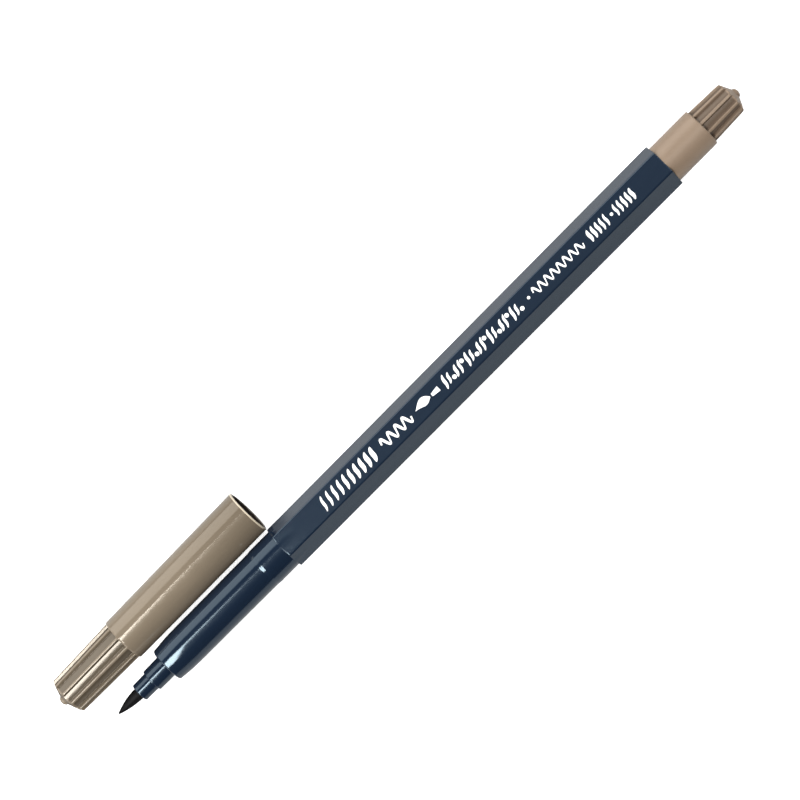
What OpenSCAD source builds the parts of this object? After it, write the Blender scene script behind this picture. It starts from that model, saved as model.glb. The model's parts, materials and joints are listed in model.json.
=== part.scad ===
// Calligraphy brush marker: a six-sided barrel with a round grip moulded on its front,
// a fibre brush in a stepped holder, a felt ink reservoir inside, a fluted plug that
// closes the rear, and a push-on fluted cap that lies beside the grip.
// X runs along the pen and the brush points to -X. The pen lies on one of its flats.
// The origin is the middle of that flat, so the surface it lies on is the plane Z = 0.

/* [Barrel] */
// Length of the six-sided part
hex_len = 94.9; // [85:0.1:105]
// Distance across the flats at the grip end
hex_front_af = 7.7; // [7.66:0.01:7.78]
// Distance across the flats at the rear end
hex_rear_af = 7.98; // [7.9:0.01:8.2]
// Share of the sharp corner radius that the rounded corners keep
corner_share = 0.984; // [0.97:0.001:0.995]
// Length over which the round grip runs out into the flats
run_out_len = 4.4; // [3:0.1:8]
// Diameter of the bore that holds the ink reservoir
reservoir_bore_d = 6.3; // [6.22:0.02:6.4]

/* [Grip] */
// Length of the round grip, from its front face to the shoulder
grip_len = 29.4; // [27:0.1:31]
// Diameter of the grip's front, before its edge is rounded
grip_front_d = 6.85; // [6.2:0.05:7.0]
// Diameter where the front curve ends
grip_waist_d = 7.44; // [7.3:0.01:7.5]
// Diameter just in front of the cap band
grip_rear_d = 7.62; // [7.5:0.01:7.65]
// Length of the curve behind the front face
grip_curve_len = 5.4; // [4:0.1:9]
// Radius of the front edge
grip_edge_r = 0.4; // [0.2:0.05:0.5]
// Diameter of the band that the cap's mouth grips
band_d = 7.8; // [7.75:0.01:7.82]
// Length of that band
band_len = 5; // [4:0.1:6]
// Bore behind the grip's front wall
grip_bore_d = 5.8; // [5.4:0.1:6]
// Thickness of the grip's front wall
front_wall = 3.5; // [3:0.1:5]

/* [Brush and holder] */
// Length of the brush outside its holder
brush_len = 5.3; // [4.5:0.1:7]
// Diameter of the brush where it leaves the holder
brush_d = 2.2; // [2:0.05:2.4]
// Diameter of the brush's blunt point
brush_point_d = 0.24; // [0.1:0.02:0.4]
// Diameter of the rod that feeds the brush
stem_d = 2; // [1.8:0.05:2.1]
// How far the rod reaches into the reservoir
stem_in_reservoir = 10; // [6:1:20]
// Play around the brush's root in the holder's mouth
brush_play = 0.08; // [0.04:0.01:0.1]
// Diameter and length of the holder's front step
holder_small_d = 3.6; // [3.4:0.05:3.8]
holder_small_len = 3.1; // [2.5:0.1:4]
// Diameter and length of the holder's second step
holder_large_d = 4.5; // [4.3:0.05:4.7]
holder_large_len = 3.8; // [3:0.1:5]
// Length of the holder's collar behind the grip's front wall
collar_len = 8; // [5:0.5:12]

/* [Reservoir] */
// Length of the felt ink reservoir
reservoir_len = 86; // [70:1:88]
// Diameter of the felt
reservoir_d = 6; // [5.6:0.05:6]
// Thickness of the film wrapped around it
film_t = 0.1; // [0.08:0.01:0.12]

/* [End plug] */
// Diameter of the plug's smooth part, over which the cap can be pushed
plug_d = 7.8; // [7.7:0.01:7.82]
// Length of the smooth part, and of the fluted part
plug_smooth_len = 9.25; // [8:0.05:11]
plug_flute_len = 7.3; // [6:0.1:9]
// Diameter over the ribs where the flutes start, and where they end
plug_rib_front_d = 7; // [6.8:0.05:7.2]
plug_rib_rear_d = 6.5; // [6.3:0.05:6.7]
// Length of the spigot inside the barrel
spigot_len = 9; // [6:0.5:12]
// Wall of the plug
plug_wall = 0.8; // [0.7:0.05:1]
// Turn of the plug's ribs about the pen's axis
plug_roll = -2; // [-18:0.5:18]

/* [Cap] */
// Outer diameter at the mouth
cap_mouth_d = 9.04; // [9:0.01:9.1]
// Outer diameter at the shoulder, before its edge is rounded
cap_shoulder_d = 8.7; // [8.62:0.01:8.86]
// Length of the smooth part, and of the fluted part
cap_smooth_len = 31.9; // [31.5:0.1:34]
cap_flute_len = 13.5; // [12:0.1:16]
// Diameter over the ribs where the flutes start, and where they end
cap_rib_front_d = 8.2; // [8.1:0.02:8.3]
cap_rib_rear_d = 7.6; // [7.4:0.02:7.8]
// Play between the cap's bore and the band that it grips
cap_play = 0.05; // [0.03:0.01:0.08]
// Wall of the inner liner that seals around the holder
liner_wall = 0.3; // [0.25:0.05:0.35]

/* [Flutes] */
// Number of ribs around the plug and the cap
rib_count = 10; // [8:1:12]
// Width of a rib's top
rib_w = 0.62; // [0.5:0.02:0.8]
// Depth of a flute
flute_depth = 0.64; // [0.4:0.02:0.7]

/* [Where the cap lies] */
// Distance sideways from the pen to the middle of the cap's mouth
cap_offset = 9; // [9:0.05:20]
// How far the mouth lies behind the shoulder
cap_mouth_behind = 0.1; // [-10:0.1:0.1]
// Angle between the cap and the pen
cap_yaw = 0.55; // [0:0.05:1]
// Turn of the cap about its own axis
cap_roll = -6; // [-18:1:18]

/* [Hidden] */
$fn = 96;
curve_steps = 10;
eps = 0.01;

navy = [0.11, 0.14, 0.2];
taupe = [0.62, 0.56, 0.47];

hex_mid_af = (hex_front_af + hex_rear_af) / 2;
hex_slope = (hex_rear_af - hex_front_af) / 2 / hex_len;
draft = atan(hex_slope);
shoulder_x = -hex_len / 2;
rear_x = hex_len / 2;
grip_x = shoulder_x - grip_len;
band_x = shoulder_x - band_len;
holder_large_x = grip_x - holder_large_len;
holder_x = holder_large_x - holder_small_len;
collar_x = grip_x + front_wall;
stem_x = holder_x + brush_d / 2 + 0.1;
reservoir_x = collar_x + collar_len + 14;
spigot_x = rear_x - spigot_len;
ribs_x = rear_x + plug_smooth_len;

cap_slope = (cap_mouth_d - cap_shoulder_d) / 2 / cap_smooth_len;
cap_pitch = atan(cap_slope);
cap_bore_r = band_d / 2 + cap_play;
liner_depth = grip_len + 0.05;
liner_seat = liner_depth + 0.8;
liner_bore_r = holder_large_d / 2 + 0.05;
liner_r = liner_bore_r + liner_wall;
liner_flange_r = liner_r + 0.8;
liner_end = liner_seat + 13.9;

// A turned solid about X. Each point is [radius, x].
module turned(points) {
    rotate([0, 90, 0]) rotate_extrude() polygon(points);
}

// Puts the pen on its lower flat, which tapers, so the flat comes down to Z = 0.
module laid_pen() {
    translate([0, 0, hex_mid_af / 2 * cos(draft)]) rotate([0, -draft, 0]) children();
}

// Puts the cap, whose mouth is at the origin and opens to +X, down beside the grip.
module laid_cap() {
    translate([shoulder_x + cap_mouth_behind, cap_offset, cap_mouth_d / 2 * cos(cap_pitch)])
        rotate([0, 0, cap_yaw]) rotate([0, -cap_pitch, 0]) rotate([cap_roll, 0, 0]) children();
}

// Six flats that taper towards the grip, with corners trimmed by a cone.
module hex_body() {
    reach = hex_len;
    corner_front = hex_front_af / 2 / cos(30) * corner_share;
    corner_rear = hex_rear_af / 2 / cos(30) * corner_share;
    intersection() {
        intersection_for(k = [0 : 5])
            rotate([60 * k, 0, 0]) translate([0, 0, hex_mid_af / 2]) rotate([0, -draft, 0])
                translate([-reach, -reach, -2 * reach]) cube([2 * reach, 2 * reach, 2 * reach]);
        turned([[0, shoulder_x], [corner_front, shoulder_x], [corner_rear, rear_x], [0, rear_x]]);
    }
}

// The round grip: rounded front edge, swelling curve, long waist, and the cap's band.
module grip_body() {
    front_r = grip_front_d / 2;
    edge = [for (a = [0 : 22.5 : 90])
        [front_r - grip_edge_r * (1 - sin(a)), grip_x + grip_edge_r * (1 - cos(a))]];
    curve = [for (i = [1 : curve_steps]) let (u = i / curve_steps)
        [front_r + (grip_waist_d / 2 - front_r) * (1 - pow(1 - u, 2)),
            grip_x + grip_edge_r + u * (grip_curve_len - grip_edge_r)]];
    turned(concat([[0, grip_x]], edge, curve,
        [[grip_rear_d / 2, band_x], [band_d / 2, band_x], [band_d / 2, shoulder_x],
            [0, shoulder_x]]));
}

// The cone that carries the band's roundness a little way onto the flats.
module run_out() {
    meet_r = hex_front_af / 2 + hex_slope * run_out_len;
    drop = (band_d / 2 - meet_r) * 1.5;
    turned([[0, shoulder_x - eps], [band_d / 2, shoulder_x - eps], [band_d / 2, shoulder_x],
        [band_d / 2 - drop, shoulder_x + run_out_len * 1.5],
        [0, shoulder_x + run_out_len * 1.5]]);
}

// Barrel and grip are one moulding, bored right through in three sizes.
module barrel() {
    color(navy) laid_pen() difference() {
        union() {
            hex_body();
            grip_body();
            run_out();
        }
        turned([[0, grip_x - 1], [holder_large_d / 2, grip_x - 1],
            [holder_large_d / 2, collar_x], [grip_bore_d / 2, collar_x],
            [grip_bore_d / 2, band_x - 3], [reservoir_bore_d / 2, band_x - 3],
            [reservoir_bore_d / 2, rear_x + 1], [0, rear_x + 1]]);
    }
}

// Two steps show in front of the grip; a collar behind the front wall holds the part in.
module nib_holder() {
    mouth_r = brush_d / 2 + brush_play;
    chamfer = 0.2;
    slot_w = 0.8;
    slot_depth = 0.4;
    color(navy) laid_pen() difference() {
        turned([[mouth_r, holder_x], [holder_small_d / 2 - chamfer, holder_x],
            [holder_small_d / 2, holder_x + chamfer], [holder_small_d / 2, holder_large_x],
            [holder_large_d / 2 - chamfer, holder_large_x],
            [holder_large_d / 2, holder_large_x + chamfer], [holder_large_d / 2, collar_x],
            [grip_bore_d / 2, collar_x], [grip_bore_d / 2, collar_x + collar_len],
            [stem_d / 2, collar_x + collar_len], [stem_d / 2, stem_x], [mouth_r, stem_x]]);
        // Air passes the collar through four slots
        for (a = [45 : 90 : 315])
            rotate([a, 0, 0])
                translate([collar_x - eps, -slot_w / 2, grip_bore_d / 2 - slot_depth])
                    cube([collar_len + 2 * eps, slot_w, 1]);
    }
}

// The bending part of the brush: a round root that turns in the holder, and the point.
module brush_tip() {
    root_r = brush_d / 2;
    point_r = brush_point_d / 2;
    side = [for (i = [0 : curve_steps]) let (u = i / curve_steps)
        [point_r + (root_r - point_r) * (1 - pow(1 - u, 2)), holder_x - brush_len * (1 - u)]];
    root = [for (a = [10 : 10 : 80]) [root_r * cos(a), holder_x + root_r * sin(a)]];
    color([0.06, 0.06, 0.07]) laid_pen()
        turned(concat([[0, holder_x - brush_len]], side, root, [[0, holder_x + root_r]]));
}

// The straight rod of fibres from the brush's root back into the reservoir.
module brush_stem() {
    color([0.2, 0.2, 0.22]) laid_pen()
        translate([stem_x, 0, 0]) rotate([0, 90, 0])
            cylinder(d = stem_d, h = reservoir_x + stem_in_reservoir - stem_x);
}

// The felt rod that holds the ink, pierced at the front by the brush's stem.
module ink_reservoir() {
    color([0.16, 0.17, 0.2]) laid_pen() difference() {
        translate([reservoir_x, 0, 0]) rotate([0, 90, 0])
            cylinder(d = reservoir_d, h = reservoir_len);
        translate([reservoir_x - 1, 0, 0]) rotate([0, 90, 0])
            cylinder(d = stem_d, h = stem_in_reservoir + 1);
    }
}

// Thin film wrapped around the felt, open at both ends.
module reservoir_film() {
    color([0.85, 0.87, 0.9]) laid_pen() difference() {
        translate([reservoir_x, 0, 0]) rotate([0, 90, 0])
            cylinder(d = reservoir_d + 2 * film_t, h = reservoir_len);
        translate([reservoir_x - 1, 0, 0]) rotate([0, 90, 0])
            cylinder(d = reservoir_d, h = reservoir_len + 2);
    }
}

// Cutters for the flutes of a crown whose ribs run from x0 to x1 and end in a cone.
module flute_cutters(x0, x1, rib_r0, rib_r1) {
    len = x1 - x0;
    tilt = atan((rib_r0 - rib_r1) / len);
    floor_r = rib_r0 - flute_depth;
    top_r = rib_r0 + 1;
    half = 180 / rib_count;
    side = rib_w / 2 / cos(half);
    for (k = [0 : rib_count - 1])
        rotate([half * (2 * k + 1), 0, 0]) translate([x0, 0, floor_r]) rotate([0, tilt, 0])
            rotate([90, 0, 90]) linear_extrude(len + 3)
                polygon([[-floor_r * tan(half) + side, 0], [floor_r * tan(half) - side, 0],
                    [top_r * tan(half) - side, top_r - floor_r],
                    [-top_r * tan(half) + side, top_r - floor_r]]);
}

// Outline points of a crown's end, a cone that closes in a small round dome.
function crown_end(x1, rib_r1, end_len) =
    let (dome_r = 0.95, dome_h = 0.55)
    concat([[rib_r1 - 0.25, x1], [dome_r, x1 + end_len - dome_h]],
        [for (i = [1 : 5]) [dome_r * cos(18 * i), x1 + end_len - dome_h * (1 - sin(18 * i))]]);

// The plug: a hollow spigot in the barrel, a smooth neck, and a fluted end.
module end_plug() {
    ribs_end_x = ribs_x + plug_flute_len;
    end_len = 1.65;
    edge = 0.2;
    cavity_r = plug_rib_rear_d / 2 - flute_depth - plug_wall;
    color(taupe) laid_pen() difference() {
        turned(concat([[0, spigot_x], [reservoir_bore_d / 2 - edge, spigot_x],
            [reservoir_bore_d / 2, spigot_x + edge], [reservoir_bore_d / 2, rear_x],
            [plug_d / 2, rear_x], [plug_d / 2, ribs_x - edge], [plug_d / 2 - edge, ribs_x],
            [plug_rib_front_d / 2, ribs_x], [plug_rib_rear_d / 2, ribs_end_x - 0.3]],
            crown_end(ribs_end_x, plug_rib_rear_d / 2, end_len)));
        rotate([plug_roll, 0, 0])
            flute_cutters(ribs_x, ribs_end_x, plug_rib_front_d / 2, plug_rib_rear_d / 2);
        turned([[0, spigot_x - 1], [cavity_r, spigot_x - 1], [cavity_r, ribs_end_x - 2],
            [0, ribs_end_x - 1]]);
    }
}

// The cap's shell: smooth tapered tube, fluted crown, and a bore from the mouth to the liner.
module cap() {
    mouth_r = cap_mouth_d / 2;
    shoulder_r = cap_shoulder_d / 2;
    ribs_end_x = -cap_smooth_len - cap_flute_len;
    end_len = 2.1;
    edge = 0.15;
    shell = concat([[0, 0], [mouth_r - edge, 0], [mouth_r - edge * cap_slope, -edge],
        [shoulder_r, -cap_smooth_len + 0.9], [shoulder_r - 0.1, -cap_smooth_len + 0.3],
        [shoulder_r - 0.2, -cap_smooth_len], [cap_rib_front_d / 2, -cap_smooth_len],
        [cap_rib_rear_d / 2, ribs_end_x + 0.3]],
        [for (p = crown_end(0, cap_rib_rear_d / 2, end_len)) [p[0], ribs_end_x - p[1]]]);
    color(taupe) laid_cap() difference() {
        turned(shell);
        mirror([1, 0, 0])
            flute_cutters(cap_smooth_len, -ribs_end_x, cap_rib_front_d / 2, cap_rib_rear_d / 2);
        turned([[0, 1], [cap_bore_r, 1], [cap_bore_r, -liner_depth],
            [liner_flange_r, -liner_depth], [liner_flange_r, -liner_seat],
            [liner_r, -liner_seat], [liner_r, -liner_end], [0, -liner_end]]);
    }
}

// The liner: a flanged inner cup that closes around the holder and keeps the brush wet.
module cap_liner() {
    color([0.75, 0.72, 0.66]) laid_cap()
        turned([[liner_bore_r, -liner_depth], [liner_flange_r, -liner_depth],
            [liner_flange_r, -liner_seat], [liner_r, -liner_seat], [liner_r, -liner_end],
            [0, -liner_end], [0, -liner_end + 0.4], [liner_bore_r, -liner_end + 0.4]]);
}

barrel();
nib_holder();
brush_tip();
brush_stem();
ink_reservoir();
reservoir_film();
end_plug();
cap();
cap_liner();
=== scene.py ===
import json
import math

import bmesh
import bpy
from mathutils import Matrix, Vector


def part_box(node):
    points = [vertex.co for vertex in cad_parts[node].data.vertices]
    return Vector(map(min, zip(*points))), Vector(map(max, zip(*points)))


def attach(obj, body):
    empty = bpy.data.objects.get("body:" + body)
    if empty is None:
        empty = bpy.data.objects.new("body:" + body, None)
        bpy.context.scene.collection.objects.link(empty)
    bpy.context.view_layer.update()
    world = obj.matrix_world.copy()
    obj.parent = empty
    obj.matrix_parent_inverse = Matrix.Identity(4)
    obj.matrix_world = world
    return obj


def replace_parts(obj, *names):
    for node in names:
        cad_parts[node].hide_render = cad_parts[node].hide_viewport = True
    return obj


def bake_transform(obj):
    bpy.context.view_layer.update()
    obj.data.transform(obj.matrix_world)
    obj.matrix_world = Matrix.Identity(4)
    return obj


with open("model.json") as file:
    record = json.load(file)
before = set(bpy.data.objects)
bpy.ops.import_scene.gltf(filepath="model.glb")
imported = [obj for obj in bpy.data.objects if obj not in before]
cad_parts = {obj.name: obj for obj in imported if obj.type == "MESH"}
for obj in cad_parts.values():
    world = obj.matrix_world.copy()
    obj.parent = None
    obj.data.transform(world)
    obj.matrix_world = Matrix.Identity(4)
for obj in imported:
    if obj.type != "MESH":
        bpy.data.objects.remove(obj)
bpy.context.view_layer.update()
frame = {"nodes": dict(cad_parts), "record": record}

MM = 0.001
mounts = {mount["name"]: mount for mount in frame["record"]["mounts"]}


# ---------------------------------------------------------------------------
# Where the pen lies. The barrel tapers, so it lies with a very slight tilt on its lower
# flat. Everything on the pen is drawn in its own millimetres: X runs back from the
# shoulder, which is where the round grip meets the six-sided barrel.
# ---------------------------------------------------------------------------

def placed(start, x_axis, roll=0.0):
    """The place of a piece whose own X axis points along x_axis, in millimetres."""
    x_axis = Vector(x_axis).normalized()
    y_axis = Vector((0, 0, 1)).cross(x_axis).normalized()
    z_axis = x_axis.cross(y_axis)
    turn = Matrix((x_axis, y_axis, z_axis)).transposed().to_4x4()
    return (Matrix.Translation(start) @ turn @ Matrix.Rotation(math.radians(roll), 4, "X")
            @ Matrix.Scale(MM, 4))


band = mounts["cap_seat"]
pen_axis = -Vector(band["axis"])
band_len = band["dims"]["length_mm"]
band_r = band["dims"]["r_mm"]
shoulder = Vector(band["pos_m"]) + pen_axis * (band_len / 2 * MM)
pen_place = placed(shoulder, pen_axis)


def along_pen(node, end):
    """Distance in millimetres from the shoulder to a node's front (0) or rear (1) end."""
    return (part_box(node)[end].x - shoulder.x) / pen_axis.x / MM


# ---------------------------------------------------------------------------
# Barrel. One glossy navy moulding: a six-sided tube with soft corners that tapers to the
# front, and a round grip that ends in a band for the cap. The band is a little wider than
# the flats, so its roundness runs out on them just behind the shoulder.
# ---------------------------------------------------------------------------

def filleted(corners, steps=5):
    """An outline of (x, radius, fillet) corners with its corners rounded off."""
    outline = [corners[0][:2]]
    for before, here, after in zip(corners, corners[1:], corners[2:]):
        corner = Vector(here[:2])
        into = Vector(before[:2]) - corner
        out = Vector(after[:2]) - corner
        bend = math.pi - into.angle(out, math.pi)
        reach = here[2] * math.tan(bend / 2)
        start = corner + into.normalized() * min(reach, into.length * 0.45)
        end = corner + out.normalized() * min(reach, out.length * 0.45)
        if here[2] == 0:
            outline.append(tuple(corner))
            continue
        for i in range(steps + 1):
            u = i / steps
            point = start * (1 - u) ** 2 + corner * 2 * u * (1 - u) + end * u ** 2
            outline.append(tuple(point))
    outline.append(corners[-1][:2])
    return outline


def turned(name, angles, outline_at, place, closed_tube=False):
    """A closed solid with one outline of (x, radius) points for each angle about X.

    A tube's outline runs right round its wall. Any other one starts and ends on the axis.
    """
    outlines = [outline_at(angle) for angle in angles]
    count = len(outlines[0])
    around = len(angles)
    points = []
    rows = []
    for i in range(count):
        on_axis = not closed_tube and i in (0, count - 1)
        rows.append([len(points) + (0 if on_axis else k) for k in range(around)])
        for angle, outline in zip(angles[:1] if on_axis else angles, outlines):
            x, r = outline[i]
            points.append((x, r * math.sin(angle), r * math.cos(angle)))
    faces = []
    pairs = list(zip(rows, rows[1:]))
    if closed_tube:
        pairs.append((rows[-1], rows[0]))
    for row, following in pairs:
        for k in range(around):
            j = (k + 1) % around
            face = (row[k], row[j], following[j], following[k])
            faces.append(tuple(dict.fromkeys(face)))
    mesh = bpy.data.meshes.new(name)
    mesh.from_pydata(points, [], faces)
    mesh.validate()
    solid = bmesh.new()
    solid.from_mesh(mesh)
    bmesh.ops.recalc_face_normals(solid, faces=solid.faces)
    solid.to_mesh(mesh)
    solid.free()
    mesh.shade_smooth()
    mesh.set_sharp_from_angle(angle=math.radians(38))
    piece = bpy.data.objects.new(name, mesh)
    bpy.context.scene.collection.objects.link(piece)
    piece.matrix_world = place
    normals = piece.modifiers.new("even_faces", "WEIGHTED_NORMAL")
    normals.keep_sharp = True
    normals.weight = 60
    return piece


def span(start, end, count):
    """Evenly spaced numbers from start to end, both included."""
    return [start + (end - start) * i / (count - 1) for i in range(count)]


def soft_step(u):
    """A smooth rise from 0 to 1."""
    u = min(max(u, 0), 1)
    return u * u * (3 - 2 * u)


def soft_max(a, b, blend):
    """The larger of two numbers, with a rounded change from one to the other."""
    return (a + b + math.hypot(a - b, blend)) / 2


# The tube and its corners
hex_len = along_pen("barrel", 1)
flat_to_axis = (3.85, 3.99)
corner_round = 0.46
rear_edge = 0.16
shoulder_edge = 0.22
run_out_len = 4.4
# The grip
grip_front = along_pen("barrel", 0)
grip_front_r = 3.425
grip_waist_r = 3.72
grip_rear_r = 3.81
grip_curve_len = 5.4
grip_edge = 0.4
ramp_len = 0.75
# The bores
holder_r = 2.25
collar_r = 2.9
bore_r = 3.15
front_wall = 3.5
bore_front = -band_len - 3


def side_angle(angle):
    """The angle from the middle of the nearest flat."""
    sixth = math.pi / 3
    return (angle + sixth / 2) % sixth - sixth / 2


def barrel_radius(angle, x):
    """Distance from the axis to the six-sided surface with its rounded corners."""
    flat = flat_to_axis[0] + (flat_to_axis[1] - flat_to_axis[0]) * x / hex_len
    a = abs(side_angle(angle))
    centre = (flat - corner_round) / math.cos(math.pi / 6)
    off = math.pi / 6 - a
    inside = corner_round ** 2 - (centre * math.sin(off)) ** 2
    if math.tan(a) * flat < (flat - corner_round) * math.tan(math.pi / 6) or inside < 0:
        return flat / math.cos(a)
    return centre * math.cos(off) + math.sqrt(inside)


def behind_shoulder(angle, x):
    """The barrel's radius, with the band's roundness running out on the flats."""
    fade = (band_r - flat_to_axis[0]) * max(1 - x / run_out_len, -1)
    return soft_max(barrel_radius(angle, x), flat_to_axis[0] + fade, 0.012)


def barrel_outline(angle):
    """The barrel's outline: grip, band, shoulder, flats, and back through the bore."""
    curve_x = grip_front + grip_edge
    grip = [(grip_front, holder_r, 0), (grip_front, grip_front_r, grip_edge)]
    for u in span(0.12, 1, 9):
        r = grip_front_r + (grip_waist_r - grip_front_r) * (1 - (1 - u) ** 2)
        grip.append((curve_x + u * (grip_curve_len - grip_edge), r, 0))
    ramp_x = -band_len - ramp_len / 2
    for x in span(grip_front + grip_curve_len + 3, ramp_x - 1, 5):
        share = (x - grip_front - grip_curve_len) / (-band_len - grip_front - grip_curve_len)
        grip.append((x, grip_waist_r + (grip_rear_r - grip_waist_r) * share, 0))
    for u in span(0, 1, 9):
        grip.append((ramp_x + u * ramp_len,
                     grip_rear_r + (band_r - grip_rear_r) * soft_step(u), 0))
    at_shoulder = behind_shoulder(angle, 0)
    edge = min(shoulder_edge, (at_shoulder - band_r) * 0.7)
    hexagon = [(-2, band_r, 0), (-0.5, band_r, 0), (0, band_r, 0.05), (0, at_shoulder, edge)]
    for x in span(0.6, run_out_len * 1.6, 9) + span(12, hex_len - 1, 9):
        hexagon.append((x, behind_shoulder(angle, x), 0))
    rear = barrel_radius(angle, hex_len)
    bore = [(hex_len, rear, rear_edge), (hex_len, bore_r, 0.08), (bore_front, bore_r, 0),
            (bore_front, collar_r, 0), (grip_front + front_wall, collar_r, 0),
            (grip_front + front_wall, holder_r, 0)]
    return filleted(grip + hexagon + bore + [(grip_front + 0.5, holder_r, 0)])


# Seen from the axis, each rounded corner spans twice this angle.
corner_half = math.radians(3.1)
flat_angles = span(-math.pi / 6 + corner_half, math.pi / 6 - corner_half, 13)
corner_angles = span(math.pi / 6 - corner_half, math.pi / 6 + corner_half, 9)[1:-1]
barrel_angles = [side * math.pi / 3 + a for side in range(6) for a in flat_angles + corner_angles]
barrel = turned("barrel_and_grip", barrel_angles, barrel_outline, pen_place, closed_tube=True)


class Wire:
    """A value inside a finish. Sums on it add Math nodes, and add() makes any other node."""

    def __init__(self, tree, socket):
        self.tree = tree
        self.socket = socket

    def add(self, kind, settings, sockets, out=0):
        """One of the outputs of a new node with these settings and socket values."""
        node = self.tree.nodes.new("ShaderNode" + kind)
        for name, value in settings.items():
            setattr(node, name, value)
        for name, value in sockets.items():
            socket = node.inputs[name]
            if isinstance(value, Wire):
                self.tree.links.new(value.socket, socket)
            else:
                socket.default_value = value
        return Wire(self.tree, node.outputs[out])

    def maths(self, operation, *values):
        """This value and others in a sum, a product or another operation."""
        return self.add("Math", {"operation": operation}, dict(enumerate((self, *values))))

    def __add__(self, other):
        return self.maths("ADD", other)

    def __sub__(self, other):
        return self.maths("SUBTRACT", other)

    def __rsub__(self, other):
        return (self * -1) + other

    def __mul__(self, other):
        return self.maths("MULTIPLY", other)

    __radd__ = __add__
    __rmul__ = __mul__

    def colours(self, low, high):
        """A mix of two colours by this value."""
        pair = {0: self, 6: (*low, 1), 7: (*high, 1)}
        return self.add("Mix", {"data_type": "RGBA"}, pair, out=2)


def finish(name, **shader):
    """A new finish and its place on the piece in millimetres, with the shader's own values."""
    material = bpy.data.materials.new(name)
    material.use_nodes = True
    tree = material.node_tree
    principled = tree.nodes["Principled BSDF"]
    for socket, value in shader.items():
        principled.inputs[socket.replace("_", " ")].default_value = value
    coordinates = tree.nodes.new("ShaderNodeTexCoord")
    return material, Wire(tree, coordinates.outputs["Object"])


def connect(material, **sockets):
    """Feeds a finish's shader: its colour, roughness or normal."""
    principled = material.node_tree.nodes["Principled BSDF"]
    for socket, wire in sockets.items():
        target = principled.inputs[socket.replace("_", " ")]
        material.node_tree.links.new(wire.socket, target)


def grain(place, scale, detail=2.0, stretch=(1, 1, 1)):
    """Soft noise over a piece, with features of about 1 / scale millimetres."""
    at = place.add("Mapping", {}, {"Vector": place, "Scale": stretch})
    return at.add("TexNoise", {}, {"Vector": at, "Scale": scale, "Detail": detail})


def bumped(height, strength, depth):
    """A normal raised by height, depth millimetres at most."""
    return height.add("Bump", {}, {"Height": height, "Strength": strength, "Distance": depth * MM})


# Gloss navy plastic: even pigment with faint flow marks, a fine moulded skin, and soft
# handling marks that change the gloss a little.
navy, skin = finish("navy_plastic", IOR=1.5, Specular_Tint=(0.72, 0.9, 1.0, 1.0))
flow = grain(skin, 0.35, 3.0, (0.15, 1, 1))
pigment = grain(skin, 6.0, 2.0)
handling = grain(skin, 0.9, 4.0, (0.3, 1, 1))
connect(navy,
        Base_Color=(flow * 0.6 + pigment * 0.4).colours((0.0045, 0.0095, 0.02),
                                                        (0.0075, 0.0145, 0.0285)),
        Roughness=handling * 0.06 + 0.1,
        Normal=bumped(grain(skin, 14.0, 2.0), 0.25, 0.002))
barrel.data.materials.append(navy)
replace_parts(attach(barrel, "pen"), "barrel")


# ---------------------------------------------------------------------------
# Print. Plain practice strokes for a brush pen, in opaque white ink on the upper flat. They
# run from just behind the shoulder almost to the barrel's rear end.
# ---------------------------------------------------------------------------

ink_thickness = 0.012
print_lift = 0.002


def top_flat(x):
    """Height of the upper flat above the pen's axis."""
    return flat_to_axis[0] + (flat_to_axis[1] - flat_to_axis[0]) * x / hex_len


ink_points = []
ink_faces = []


def ink(right, left):
    """Lays one strip of ink between two edges, each a list of (x, y) points."""
    start = len(ink_points)
    count = len(left)
    for lift in (print_lift, print_lift + ink_thickness):
        for x, y in right + left:
            ink_points.append((x, y, top_flat(x) + lift))
    for k in range(count):
        j = (k + 1) % count
        edge = (start + k, start + j, start + count + j, start + count + k)
        above = tuple(point + 2 * count for point in edge)
        if j:
            ink_faces.append(above)
            ink_faces.append(edge[::-1])
            ink_faces.append((edge[1], edge[0], above[0], above[1])[::-1])
            ink_faces.append((edge[3], edge[2], above[2], above[3])[::-1])
        else:
            ink_faces.append((edge[0], edge[3], above[3], above[0]))
            ink_faces.append((start, above[1], above[2], start + count))


def stroke(path, widths):
    """Ink drawn along a path of (x, y) points, as wide at each point as widths says."""
    left = []
    right = []
    for i, (x, y) in enumerate(path):
        ahead = Vector(path[min(i + 1, len(path) - 1)]) - Vector(path[max(i - 1, 0)])
        across = Vector((-ahead.y, ahead.x)).normalized() * (widths[i] / 2)
        left.append((x + across.x, y + across.y))
        right.append((x - across.x, y - across.y))
    ink(right, left)


def dot(x, y, radius):
    """A round dot of ink."""
    turns = span(0.06, math.pi - 0.06, 13)
    upper = [(x - radius * math.cos(a), y + radius * math.sin(a)) for a in turns]
    lower = [(x - radius * math.cos(a), y - radius * math.sin(a)) for a in turns]
    ink(lower, upper)


def slant(x, height, width, lean=0.9):
    """One slanted pen stroke with a thin start and end."""
    steps = span(0, 1, 13)
    path = [(x + lean * u + 0.12 * math.sin(math.tau * u), height * (u - 0.5)) for u in steps]
    stroke(path, [0.08 + (width - 0.08) * math.sin(math.pi * u) ** 0.6 for u in steps])


def wave(x0, x1, turns, height, thin, thick):
    """A running wave, thick where the pen moves down and thin where it moves up."""
    steps = span(0, 1, 16 * turns + 1)
    path = [(x0 + (x1 - x0) * u, height / 2 * math.sin(math.tau * turns * u)) for u in steps]
    falling = [0.5 - 0.5 * math.cos(math.tau * turns * u + 0.6) for u in steps]
    stroke(path, [thin + (thick - thin) * share for share in falling])


# Tall slants that grow bolder, and a wave
for i in range(10):
    slant(10.3 + 1.36 * i, 2.8, 0.5 + 0.04 * i)
wave(25.2, 32.4, 4, 1.85, 0.28, 0.5)

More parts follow.
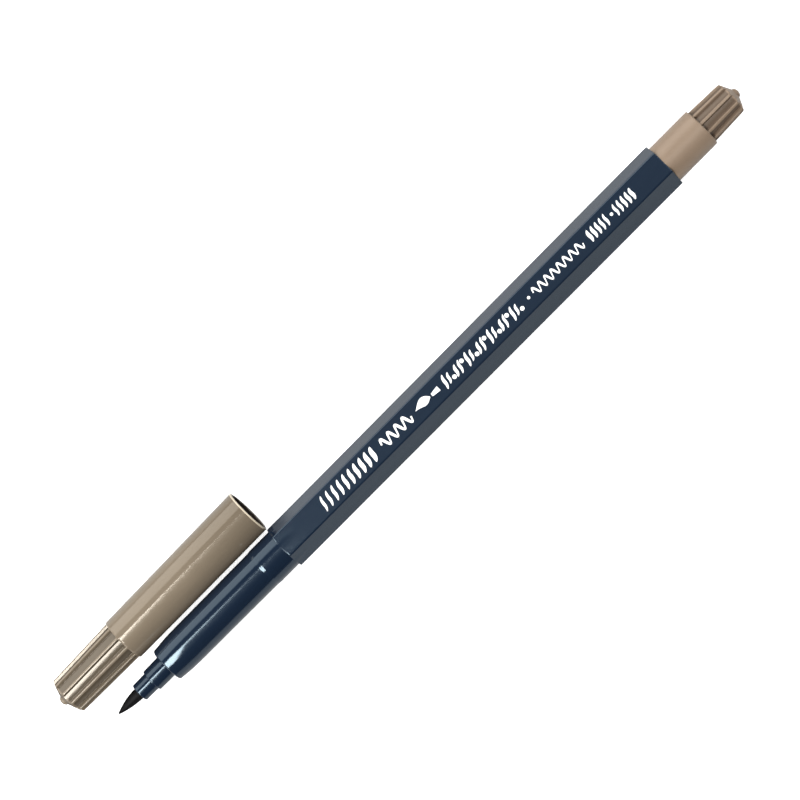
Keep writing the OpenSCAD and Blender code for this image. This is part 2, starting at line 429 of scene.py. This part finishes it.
# A drop of ink and a short bar beside it
drop_steps = span(0, 1, 17)
stroke([(33.6 + 3.6 * u, 0.25 * math.sin(math.pi * u)) for u in drop_steps],
       [0.06 + 1.6 * math.sin(math.pi * u ** 1.4) for u in drop_steps])
bar_steps = span(0, 1, 5)
stroke([(37.6 + 1.7 * u, 0) for u in bar_steps], [0.55 + 0.45 * u for u in bar_steps])

# A scroll: pairs of slants that take turns in height, each pair with a dot
for i in range(7):
    slant(40.4 + 2.8 * i, 2.6 - 0.5 * (i % 2), 0.58)
    slant(41.4 + 2.8 * i, 1.9 + 0.5 * (i % 2), 0.5)
    dot(42.7 + 2.8 * i, -0.55 + 1.1 * (i % 2), 0.4)

# A fine wave, and two groups of short slants around a dot
dot(61.6, 0, 0.28)
wave(62.8, 75.0, 8, 1.5, 0.2, 0.38)
for i in range(5):
    slant(76.5 + i, 2.3, 0.66 - 0.04 * i, 0.5)
    slant(82.9 + i, 2.3, 0.5 + 0.04 * i, 0.5)
dot(82.1, 0, 0.3)

print_mesh = bpy.data.meshes.new("print_marks")
print_mesh.from_pydata(ink_points, [], ink_faces)
print_mesh.validate()
print_marks = bpy.data.objects.new("print_marks", print_mesh)
bpy.context.scene.collection.objects.link(print_marks)
print_marks.matrix_world = pen_place

# Screen ink: matt white with a faint mesh grain and slightly uneven cover.
white_ink, cover = finish("white_print_ink", IOR=1.45)
uneven = grain(cover, 5.0, 3.0)
connect(white_ink,
        Base_Color=uneven.colours((0.74, 0.74, 0.73), (0.95, 0.95, 0.94)),
        Roughness=grain(cover, 12.0) * 0.2 + 0.4,
        Normal=bumped(grain(cover, 20.0), 0.3, 0.003))
print_mesh.materials.append(white_ink)
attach(print_marks, "pen")


# ---------------------------------------------------------------------------
# Nib holder. A stepped navy sleeve pressed into the front of the grip. Two steps show,
# and a collar behind the grip's front wall, with four air slots, holds it in.
# ---------------------------------------------------------------------------

holder_front = along_pen("nib_holder", 0)
holder_rear = along_pen("nib_holder", 1)
small_r = 1.8
small_len = 3.1
mouth_r = 1.18
feed_r = 1.0
collar_front = grip_front + front_wall
slot_half = math.radians(8)
slot_depth = 0.4


def holder_outline(angle):
    """The holder's outline, with the collar cut down where an air slot passes."""
    quarter = math.pi / 2
    from_slot = abs(angle % quarter - quarter / 2)
    behind = collar_r - (slot_depth if from_slot < slot_half else 0)
    step = holder_front + small_len
    return filleted([
        (holder_front, mouth_r, 0), (holder_front, small_r - 0.03, 0.22), (step, small_r, 0.08),
        (step, holder_r - 0.05, 0.22), (collar_front, holder_r, 0), (collar_front, behind, 0.05),
        (holder_rear, behind, 0.05), (holder_rear, feed_r, 0),
        (holder_front + mouth_r, feed_r, 0), (holder_front + mouth_r, mouth_r, 0),
        (holder_front + 0.4, mouth_r, 0)])


holder_angles = span(0, math.tau, 97)[:-1]
holder = turned("stepped_nib_holder", holder_angles, holder_outline, pen_place, closed_tube=True)
holder.data.materials.append(navy)
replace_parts(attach(holder, "pen"), "nib_holder")


# ---------------------------------------------------------------------------
# Brush. A bundle of fine fibres ground to a soft point and soaked with black ink. It is
# fuller on one side, and it bends when it is pressed.
# ---------------------------------------------------------------------------

apex = along_pen("brush_tip", 0)
brush_len = holder_front - apex
brush_r = 1.1
apex_r = 0.1
fullness = 0.05
fibre_rows = 42


def brush_outline(angle):
    """The brush's outline: a long ogive with fibres, fuller on one side, and a round root."""
    outline = [(apex, 0)]
    for u in [0.004, 0.012, 0.03] + span(0.06, 1, 22):
        r = apex_r * min(1, (u / 0.03) ** 0.5) + (brush_r - apex_r) * (1 - (1 - u) ** 2.05)
        side = 1 + fullness * math.sin(angle) * math.sin(math.pi * u) ** 0.8
        fibre = 1 + 0.012 * math.cos(fibre_rows * angle) * u
        outline.append((apex + brush_len * u, r * side * fibre))
    for depth, share in ((0.55, 0.92), (0.9, 0.55), (1.05, 0)):
        outline.append((holder_front + depth, brush_r * share))
    return outline


brush_angles = span(0, math.tau, 4 * fibre_rows + 1)[:-1]
brush = turned("fibre_brush", brush_angles, brush_outline, pen_place)

# Wet black fibre: fine lengthwise strands, a soft sheen, and a drier grey here and there.
fibre, strand = finish("black_fibre", IOR=1.25, Specular_IOR_Level=0.3)
strands = grain(strand, 9000.0, 2.0, (0.03, 1, 1))
patches = grain(strand, 1500.0, 2.0, (0.4, 1, 1))
connect(fibre,
        Base_Color=(strands * 0.7 + patches * 0.3).colours((0.0002, 0.0002, 0.0003),
                                                           (0.0035, 0.0035, 0.004)),
        Roughness=strands * 0.3 + 0.35,
        Normal=bumped(strands, 0.6, 0.03))
brush.data.materials.append(fibre)
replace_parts(brush, "brush_tip")
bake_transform(brush)


# ---------------------------------------------------------------------------
# Feed rod, ink reservoir and its film. They are inside: a rod of bonded fibres that
# carries ink, a roll of polyester felt that holds it, and a clear film around the felt.
# ---------------------------------------------------------------------------

rod, rod_place = finish("bonded_fibre_rod")
rod_strands = grain(rod_place, 8000.0, 2.0, (0.02, 1, 1))
connect(rod,
        Base_Color=rod_strands.colours((0.01, 0.01, 0.012), (0.06, 0.06, 0.065)),
        Roughness=rod_strands * 0.3 + 0.5,
        Normal=bumped(rod_strands, 0.6, 0.03))

felt, felt_place = finish("soaked_felt")
felt_fibres = grain(felt_place, 4000.0, 5.0, (0.3, 1, 1))
connect(felt,
        Base_Color=felt_fibres.colours((0.008, 0.009, 0.014), (0.05, 0.055, 0.075)),
        Roughness=felt_fibres * 0.3 + 0.6,
        Normal=bumped(felt_fibres, 0.7, 0.08))

film, film_place = finish("clear_film", IOR=1.5, Alpha=0.35)
creases = grain(film_place, 600.0, 3.0, (0.2, 1, 1))
connect(film,
        Base_Color=creases.colours((0.8, 0.83, 0.87), (0.95, 0.96, 0.98)),
        Roughness=creases * 0.15 + 0.08,
        Normal=bumped(creases, 0.3, 0.02))


def repaint(node, material):
    """Gives a piece that keeps its modelled shape its finish."""
    piece = frame["nodes"][node]
    for material_slot in piece.material_slots:
        material_slot.material = material


repaint("brush_stem", rod)
repaint("ink_reservoir", felt)
repaint("reservoir_film", film)


# ---------------------------------------------------------------------------
# End plug. Satin taupe plastic, pushed into the barrel with a hollow spigot. Behind its
# smooth neck ten ribs with flat-floored flutes between them run to a coned end.
# ---------------------------------------------------------------------------

rib_count = 10
rib_half = 0.31
flute_depth = 0.64
wall_softness = math.radians(0.45)


def flank_angle(rib_r):
    """The angle from a rib's middle to its flanks, for ribs of these two radii."""
    return rib_half / (sum(rib_r) / 2 - flute_depth / 2)


def rib_angles(rib_r):
    """Angles all round that are dense at the ribs' flanks."""
    flank = flank_angle(rib_r)
    half = math.pi / rib_count
    near = [0, flank * 0.35, flank * 0.65]
    near += [flank + wall_softness * k for k in (-3.5, -2.4, -1.6, -0.8, 0, 0.8, 1.6, 2.4, 3.5)]
    near += span(flank + wall_softness * 5, half, 4)
    near = near[::-1] + [-a for a in near[1:-1]]
    return [2 * half * rib - a for rib in range(rib_count) for a in near]


def fluted_radius(angle, flank, rib_r):
    """Distance from the axis to a rib's top, a flank or a flute's round floor."""
    half = math.pi / rib_count
    off = abs((angle + half) % (2 * half) - half)
    rise = 1 / (1 + math.exp((off - flank) / wall_softness))
    crown = 0.12 * (off / flank) ** 2 if off < flank * 1.5 else 0.27
    floor = rib_r - flute_depth
    return floor + (rib_r - crown - floor) * rise


dome_r = 0.95
dome_h = 0.6


def crown_end(end_x, rib_r, end_len, direction):
    """Outline corners of a crown's end: a cone that closes in a small round dome."""
    corners = [(end_x, rib_r - 0.12), (end_x + direction * (end_len - dome_h), dome_r)]
    for a in (22, 45, 68, 86):
        a = math.radians(a)
        rise = end_len - dome_h * (1 - math.sin(a))
        corners.append((end_x + direction * rise, dome_r * math.cos(a)))
    corners.append((end_x + direction * end_len, 0))
    return corners


def crown_radius(angle, x, front, end, rib_r, cone):
    """A crown's radius, from its ribs at the front (0) and the end (1), cut by its cone."""
    share = (x - front) / (end - front)
    radius = fluted_radius(angle, flank_angle(rib_r), rib_r[0] + (rib_r[1] - rib_r[0]) * share)
    for (x0, r0), (x1, r1) in zip(cone, cone[1:]):
        if min(x0, x1) <= x <= max(x0, x1):
            return min(radius, r0 + (r1 - r0) * (x - x0) / (x1 - x0))
    return radius


plug_front = along_pen("end_plug", 0)
plug_end = along_pen("end_plug", 1)
neck_r = mounts["post_seat"]["dims"]["r_mm"]
neck_end = hex_len + 9.25
plug_rib_r = (3.5, 3.25)
plug_end_len = 1.65
plug_ribs_end = plug_end - plug_end_len
plug_wall = 0.8
plug_turn = -2.0
plug_angles = rib_angles(plug_rib_r)
plug_cone = crown_end(plug_ribs_end, plug_rib_r[1], plug_end_len, 1)


def plug_outline(angle):
    """The plug's outline: tip, crown, neck, spigot, and back up the hollow inside."""
    outline = [(plug_end, 0, 0)]
    for x, r in plug_cone[-2:1:-1]:
        outline.append((x, r, 0))
    crown = (neck_end, plug_ribs_end, plug_rib_r, plug_cone)
    for x in span(plug_cone[1][0], plug_ribs_end, 7) + span(plug_ribs_end - 0.25, neck_end + 0.6, 6):
        outline.append((x, crown_radius(angle, x, *crown), 0))
    floor = crown_radius(angle, neck_end, *crown)
    height = neck_r - floor
    outline += [(neck_end, floor, min(0.12, height * 0.4)),
                (neck_end, neck_r, min(0.3, height * 0.5)), (neck_end - 1.2, neck_r, 0),
                (hex_len + 0.4, neck_r, 0), (hex_len, neck_r, 0.05), (hex_len, bore_r, 0),
                (plug_front, bore_r, 0.25)]
    inner = plug_rib_r[1] - flute_depth - plug_wall
    outline += [(plug_front, inner, 0.1), (plug_ribs_end - 2, inner, 0.3),
                (plug_ribs_end - 1, inner * 0.4, 0), (plug_ribs_end - 1, 0, 0)]
    return filleted(outline)


plug_place = placed(shoulder, pen_axis, plug_turn)
plug = turned("fluted_end_plug", plug_angles, plug_outline, plug_place)


def painted_flute_shade(place, front, end, rib_r):
    """Painted shade mask: 1 on a crown's rib tops, its end and the smooth part, falling to 0 in the
    flutes, which the finish colours darker as shade.
    """
    x, y, z = (place.add("SeparateXYZ", {}, {"Vector": place}, out=k) for k in range(3))
    top = (x - front) * ((rib_r[1] - rib_r[0]) / (end - front)) + rib_r[0]
    out = (y * y + z * z).maths("SQRT")
    beyond = (x - end) * math.copysign(4, end - front) + 0.8
    lit = ((out - top + flute_depth) * (1 / flute_depth)).maths("MAXIMUM", beyond)
    return lit.add("Clamp", {}, {"Value": lit})


# Satin taupe plastic: a fine etched grain with cloudy pigment and long pull marks, and
# painted shade that darkens the colour in the flutes.
satin, plug_skin = finish("taupe_satin_plastic", IOR=1.48, Specular_Tint=(1.0, 0.92, 0.82, 1.0))
clouds = grain(plug_skin, 0.5, 3.0)
etched = grain(plug_skin, 11.0, 3.0)
# Painted shade: the plug's flutes are coloured darker than its rib tops, neck and end.
plug_flute_shade = painted_flute_shade(plug_skin, neck_end, plug_ribs_end, plug_rib_r)
connect(satin,
        Base_Color=((clouds * 0.7 + etched * 0.3) * 0.25 + plug_flute_shade * 0.75).colours(
            (0.072, 0.049, 0.033), (0.212, 0.155, 0.109)),
        Roughness=etched * 0.12 + 0.3,
        Normal=bumped(etched, 0.35, 0.006))
plug.data.materials.append(satin)
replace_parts(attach(plug, "pen"), "end_plug")


# ---------------------------------------------------------------------------
# Cap. A glossy taupe moulding that lies beside the grip: a smooth tapered tube, open at a
# rounded lip, and a fluted crown like the plug's that closes in a cone and a small dome.
# ---------------------------------------------------------------------------

cap_bore = mounts["cap_mouth"]
cap_axis = Vector(cap_bore["axis"])
cap_bore_len = cap_bore["dims"]["length_mm"]
cap_bore_r = cap_bore["dims"]["r_mm"]
cap_mouth = Vector(cap_bore["pos_m"]) + cap_axis * (cap_bore_len / 2 * MM)
cap_turn = -6.0
cap_place = placed(cap_mouth, cap_axis, cap_turn)
cap_mouth_r = 4.52
cap_shoulder_r = 4.35
cap_smooth_len = 31.9
cap_ribs_end = -45.85
cap_end_len = 1.65
cap_rib_r = (4.1, 3.8)
liner_r = 2.6
flange_r = 3.4
flange_back = -cap_bore_len - 0.8
liner_back = -44.15
lip_len = 0.25
cap_angles = rib_angles(cap_rib_r)
cap_cone = crown_end(cap_ribs_end, cap_rib_r[1], cap_end_len, -1)


def cap_outline(angle):
    """The cap's outline: dome, crown, tapered tube, lip, and the bore down to the liner."""
    outline = [(cap_ribs_end - cap_end_len, 0, 0)]
    for x, r in cap_cone[-2:1:-1]:
        outline.append((x, r, 0))
    crown = (-cap_smooth_len, cap_ribs_end, cap_rib_r, cap_cone)
    for x in (span(cap_cone[1][0], cap_ribs_end, 8)
              + span(cap_ribs_end + 0.25, -cap_smooth_len - 0.8, 8)):
        outline.append((x, crown_radius(angle, x, *crown), 0))
    floor = crown_radius(angle, -cap_smooth_len, *crown)
    height = cap_shoulder_r - floor
    outline += [(-cap_smooth_len, floor, min(0.12, height * 0.4)),
                (-cap_smooth_len, cap_shoulder_r, min(0.45, height * 0.9))]
    for x in span(-cap_smooth_len + 1.5, -1.2, 7):
        share = (x + cap_smooth_len) / cap_smooth_len
        outline.append((x, cap_shoulder_r + (cap_mouth_r - cap_shoulder_r) * share, 0))
    outline += [(0, cap_mouth_r, 0.26), (0, cap_bore_r, 0.2), (-3, cap_bore_r, 0),
                (-cap_bore_len, cap_bore_r, 0), (-cap_bore_len, flange_r, 0),
                (flange_back, flange_r, 0), (flange_back, liner_r, 0),
                (liner_back, liner_r, 0), (liner_back, 0, 0)]
    return filleted(outline)


cap = turned("fluted_cap", cap_angles, cap_outline, cap_place)

# Gloss taupe plastic: cloudy pigment, a polished skin with a faint ripple, handling marks
# that dull it a little, and painted shade that darkens the colour in the flutes.
taupe, cap_skin = finish("taupe_gloss_plastic", IOR=1.5, Specular_Tint=(1.0, 0.92, 0.8, 1.0))
cap_clouds = grain(cap_skin, 0.4, 3.0, (0.5, 1, 1))
specks = grain(cap_skin, 9.0, 2.0)
ripple = grain(cap_skin, 3.0, 2.0, (0.4, 1, 1))
# Painted shade: the cap's flutes are coloured darker than its rib tops, smooth tube and end.
cap_flute_shade = painted_flute_shade(cap_skin, -cap_smooth_len, cap_ribs_end, cap_rib_r)
connect(taupe,
        Base_Color=((cap_clouds * 0.6 + specks * 0.4) * 0.25 + cap_flute_shade * 0.75).colours(
            (0.058, 0.046, 0.032), (0.162, 0.13, 0.093)),
        Roughness=grain(cap_skin, 0.8, 4.0) * 0.08 + 0.09,
        Normal=bumped(ripple * 0.5 + specks * 0.5, 0.02, 0.001))
cap.data.materials.append(taupe)

# The bore's skin is the same plastic, unpolished, with painted shade: its colour is dark because
# little light gets into the bore.
shaded_bore_skin, bore_place = finish("bore_with_painted_shade", IOR=1.4, Specular_IOR_Level=0.2)
bore_mottle = grain(bore_place, 0.7, 4.0, (0.4, 1, 1))
connect(shaded_bore_skin,
        Base_Color=bore_mottle.colours((0.006, 0.004, 0.003), (0.03, 0.022, 0.016)),
        Roughness=bore_mottle * 0.2 + 0.6)
cap.data.materials.append(shaded_bore_skin)

# The lip's colour is a painted highlight: much paler than the cap's, and paler still towards the
# lip's upper side.
lip_painted_highlight, lip_place = finish("lip_painted_highlight", IOR=1.5)
lip_clouds = grain(lip_place, 0.9, 3.0)
# Painted highlight: the lip's colour grows paler with its height.
lip_height = lip_place.add("SeparateXYZ", {}, {"Vector": lip_place}, out=2)
connect(lip_painted_highlight,
        Base_Color=(lip_clouds * 0.3 + lip_height * 0.4 + 0.2).colours(
            (0.07, 0.056, 0.04), (0.5, 0.43, 0.32)),
        Roughness=lip_clouds * 0.1 + 0.15)
cap.data.materials.append(lip_painted_highlight)
# The lip's faces take the painted highlight, and the bore's inward faces take the painted shade.
for face in cap.data.polygons:
    inward = face.normal.y * face.center.y + face.normal.z * face.center.z < 0
    if face.center.x > -lip_len:
        face.material_index = 2
    elif inward and face.center.x > -cap_bore_len:
        face.material_index = 1
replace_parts(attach(cap, "cap_body"), "cap")


# ---------------------------------------------------------------------------
# Cap liner. A soft pale cup pressed in behind the bore; it closes around the nib holder.
# ---------------------------------------------------------------------------

cup, cup_place = finish("soft_liner_plastic", Subsurface_Weight=0.1)
cup_grain = grain(cup_place, 4000.0, 3.0)
connect(cup,
        Base_Color=cup_grain.colours((0.42, 0.39, 0.33), (0.55, 0.52, 0.45)),
        Roughness=cup_grain * 0.2 + 0.45,
        Normal=bumped(cup_grain, 0.3, 0.01))
repaint("cap_liner", cup)


# ---------------------------------------------------------------------------
# Studio. A plain pale table with soft light: a large softbox on the cap's side, one in
# front whose corner draws the streak on the grip, a weaker one behind the pen, a weak panel
# overhead and a card at each end.
# ---------------------------------------------------------------------------

def flat_sheet(name, half, height):
    """A square sheet that faces up."""
    mesh = bpy.data.meshes.new(name)
    corners = [(-half, -half, height), (half, -half, height), (half, half, height),
               (-half, half, height)]
    mesh.from_pydata(corners, [], [(0, 1, 2, 3)])
    sheet = bpy.data.objects.new(name, mesh)
    bpy.context.scene.collection.objects.link(sheet)
    return sheet


def seen_only(piece, by_camera):
    """Shows a piece to the camera alone, or to everything else alone."""
    piece.visible_camera = by_camera
    for ray in ("visible_diffuse", "visible_glossy", "visible_transmission", "visible_shadow"):
        setattr(piece, ray, not by_camera)


# The table that the camera sees is white enough to print as paper white, with soft shadows.
table, table_place = finish("pale_table", Roughness=0.9, Emission_Color=(1, 1, 1, 1),
                            Emission_Strength=0.62)
table_grain = grain(table_place, 30.0, 2.0)
connect(table, Base_Color=table_grain.colours((0.8, 0.8, 0.8), (0.82, 0.82, 0.82)))
pale_floor = flat_sheet("pale_floor", 4.0, 0.0)
pale_floor.data.materials.append(table)
seen_only(pale_floor, True)

# The same table as the pen sees it, which lights the pen from below.
bounce, bounce_place = finish("table_bounce", Roughness=0.9)
bounce_grain = grain(bounce_place, 30.0, 2.0)
connect(bounce, Base_Color=bounce_grain.colours((0.5, 0.5, 0.5), (0.52, 0.52, 0.52)))
bounce_floor = flat_sheet("bounce_floor", 4.0, -0.00002)
bounce_floor.data.materials.append(bounce)
seen_only(bounce_floor, False)

# Little light reaches the table between the pen and the cap, so it is dark there.
shade, shade_place = finish("table_shade", Roughness=0.9)
shade_grain = grain(shade_place, 30.0, 2.0)
connect(shade, Base_Color=shade_grain.colours((0.05, 0.05, 0.05), (0.06, 0.06, 0.06)))
shade_floor = flat_sheet("shade_floor", 0.0065, -0.00001)
shade_floor.scale.x = 4.0
shade_floor.location = (-0.073, 0.0055, 0)
shade_floor.data.materials.append(shade)
seen_only(shade_floor, False)


def panel(name, radiance, size):
    """A rectangular light, its size in metres, which the camera doesn't see."""
    lamp = bpy.data.lights.new(name, "AREA")
    lamp.shape = "RECTANGLE"
    lamp.size, lamp.size_y = size
    lamp.energy = radiance * math.pi * size[0] * size[1]
    light = bpy.data.objects.new(name, lamp)
    bpy.context.scene.collection.objects.link(light)
    light.visible_camera = False
    return light


def tilted(tilt_x, tilt_y):
    """A direction tilted from overhead towards +X and +Y, 1 high."""
    return Vector((math.tan(math.radians(tilt_x)), math.tan(math.radians(tilt_y)), 1))


middle_of_grip = Vector((grip_front * 0.4 * MM + shoulder.x, 0, 0))


def softbox(name, radiance, tilt_x, tilt_y, distance, size):
    """A light aimed at the grip, tilted from overhead towards +X and +Y."""
    light = panel(name, radiance, size)
    direction = tilted(tilt_x, tilt_y).normalized()
    light.location = middle_of_grip + direction * distance
    light.rotation_mode = "QUATERNION"
    light.rotation_quaternion = (-direction).to_track_quat("-Z", "Y")


softbox("side_softbox", 3.0, 0.0, 57.0, 0.8, (1.4, 0.68))
softbox("overhead_panel", 0.3, 3.0, 7.0, 0.9, (0.24, 0.2))
softbox("left_card", 5.0, -68.0, 0.0, 0.8, (0.6, 0.4))
softbox("right_card", 3.0, 68.0, 0.0, 0.8, (0.6, 0.4))


def cornered(name, radiance, corner, height, size, spin):
    """A level light that starts at a corner, given as tilts, its size in heights."""
    light = panel(name, radiance, [side * height for side in size])
    along = Vector((math.cos(math.radians(spin)), math.sin(math.radians(spin)), 0))
    across = Vector((-along.y, along.x, 0))
    middle = (along * size[0] + across * size[1]) / 2
    light.location = middle_of_grip + (tilted(*corner) + middle) * height
    light.rotation_euler = (0, 0, math.radians(spin))


cornered("front_softbox", 27.0, (-7.6, 7.2), 0.8, (0.3, 0.62), 161.0)
cornered("rear_softbox", 7.0, (15.5, -20.0), 0.8, (0.2, 0.5), 0.0)

world = bpy.data.worlds.new("studio_air")
bpy.context.scene.world = world
world.use_nodes = True
world.node_tree.nodes["Background"].inputs["Color"].default_value = (0.03, 0.03, 0.03, 1)


# ---------------------------------------------------------------------------
# Camera. High above the pen with a long lens, turned so the pen runs from lower left to
# upper right.
# ---------------------------------------------------------------------------

camera_data = bpy.data.cameras.new("camera")
camera_data.sensor_width = 36
camera_data.lens = 165.34
camera = bpy.data.objects.new("camera", camera_data)
bpy.context.scene.collection.objects.link(camera)
camera.location = Vector((10.591, -78.428, 645.276)) * MM
camera.rotation_euler = [math.radians(a) for a in (3.6002, 6.7448, -44.8336)]
bpy.context.scene.camera = camera

bpy.context.scene.view_settings.view_transform = "Standard"
